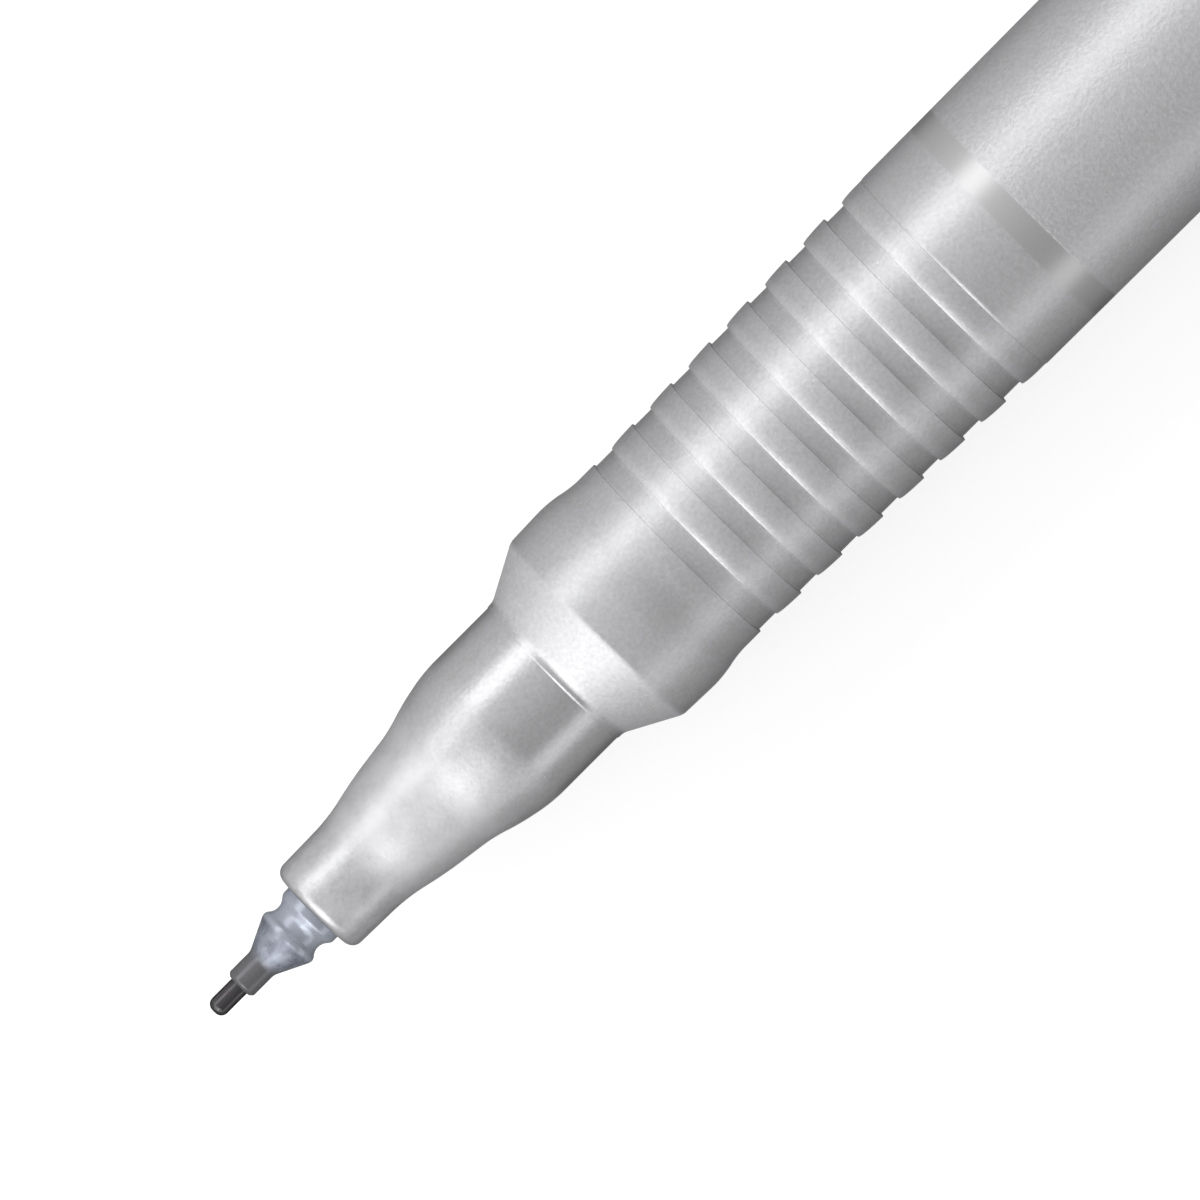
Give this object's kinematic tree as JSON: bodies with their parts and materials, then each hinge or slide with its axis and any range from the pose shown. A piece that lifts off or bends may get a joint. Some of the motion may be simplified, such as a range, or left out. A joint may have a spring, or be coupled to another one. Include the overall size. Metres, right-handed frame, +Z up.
{
  "type": "permanent marker",
  "caption": "Fine-point permanent marker with a pearl silver ribbed grip, a translucent nib holder and a black clip cap posted on its rear end.",
  "frame": {"origin": "on the surface that the marker lies on, under the middle of its bounding box", "axes": "+X along the pen from the nib to the posted cap, +Y away from the clip, +Z up"},
  "size_m": [0.1516, 0.0126, 0.0105],
  "materials": {
    "pearl_silver": "satin pearl",
    "coated_silver": "fine-grained satin coating with a glossy band at the front",
    "clear_grey": "translucent, slightly cloudy",
    "inked_nib": "wet with ink",
    "inked_fibre": "bundled fibre soaked with ink",
    "clear_film": "thin clear film",
    "black_plug": "moulded",
    "black_cap": "moulded",
    "white_liner": "soft moulded"
  },
  "bodies": {
    "pen": {"grip_section": "pearl_silver", "barrel": "coated_silver", "nib_holder": "clear_grey", "nib": "inked_nib", "ink_reservoir": "inked_fibre", "reservoir_film": "clear_film", "end_plug": "black_plug"},
    "cap": {"cap": "black_cap", "cap_liner": "white_liner"}
  },
  "joints": [
    {"name": "cap_pull", "type": "slide", "parent": "pen", "child": "cap", "axis": [1, 0, 0], "range_m": [0, 0.025]}
  ]
}
